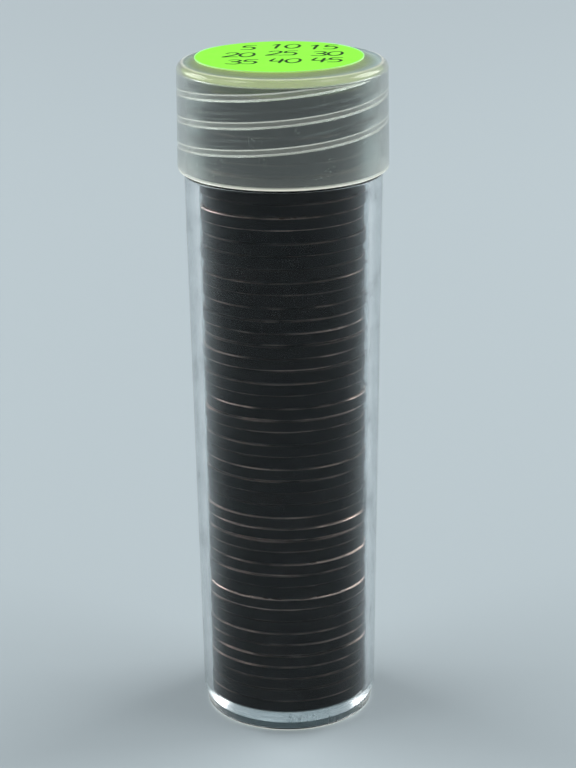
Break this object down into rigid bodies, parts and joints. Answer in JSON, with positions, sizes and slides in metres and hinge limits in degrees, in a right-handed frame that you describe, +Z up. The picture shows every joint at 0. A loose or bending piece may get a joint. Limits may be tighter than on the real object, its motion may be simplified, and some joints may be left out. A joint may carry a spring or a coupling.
{
  "type": "coin tube",
  "caption": "Clear round tube full of small copper coins, with a threaded neck and a translucent screw cap that carries a round green paper label.",
  "frame": {"origin": "centre of the ring that the tube stands on, in the plane of the surface below it", "axes": "+Z up along the tube's axis towards the cap, -Y towards the viewer in the picture"},
  "size_m": [0.0246, 0.0246, 0.0808],
  "materials": {
    "clear_plastic": "gloss",
    "cap_plastic": "satin",
    "label_paper": "matte",
    "coin_copper": "satin"
  },
  "bodies": {
    "tube": {"tube": "clear_plastic", "coin_01": "coin_copper", "coin_02": "coin_copper", "coin_03": "coin_copper", "coin_04": "coin_copper", "coin_05": "coin_copper", "coin_06": "coin_copper", "coin_07": "coin_copper", "coin_08": "coin_copper", "coin_09": "coin_copper", "coin_10": "coin_copper", "coin_11": "coin_copper", "coin_12": "coin_copper", "coin_13": "coin_copper", "coin_14": "coin_copper", "coin_15": "coin_copper", "coin_16": "coin_copper", "coin_17": "coin_copper", "coin_18": "coin_copper", "coin_19": "coin_copper", "coin_20": "coin_copper", "coin_21": "coin_copper", "coin_22": "coin_copper", "coin_23": "coin_copper", "coin_24": "coin_copper", "coin_25": "coin_copper", "coin_26": "coin_copper", "coin_27": "coin_copper", "coin_28": "coin_copper", "coin_29": "coin_copper", "coin_30": "coin_copper", "coin_31": "coin_copper", "coin_32": "coin_copper", "coin_33": "coin_copper", "coin_34": "coin_copper", "coin_35": "coin_copper", "coin_36": "coin_copper", "coin_37": "coin_copper", "coin_38": "coin_copper", "coin_39": "coin_copper", "coin_40": "coin_copper", "coin_41": "coin_copper", "coin_42": "coin_copper", "coin_43": "coin_copper", "coin_44": "coin_copper", "coin_45": "coin_copper", "coin_46": "coin_copper", "coin_47": "coin_copper", "coin_48": "coin_copper", "coin_49": "coin_copper"},
    "top_coin": {"coin_50": "coin_copper"},
    "cap": {"cap": "cap_plastic", "label": "label_paper"}
  },
  "joints": [
    {"name": "cap_turn", "type": "hinge", "parent": "tube", "child": "top_coin", "pos_m": [0, 0, 0.0776], "axis": [0, 0, 1], "range_deg": [0, 720]},
    {"name": "cap_rise", "type": "slide", "parent": "top_coin", "child": "cap", "axis": [0, 0, 1], "range_m": [0, 0.0125]}
  ],
  "couplings": [
    {"joint": "cap_rise", "follows": "cap_turn", "m_per_rad": 0.00098676}
  ]
}
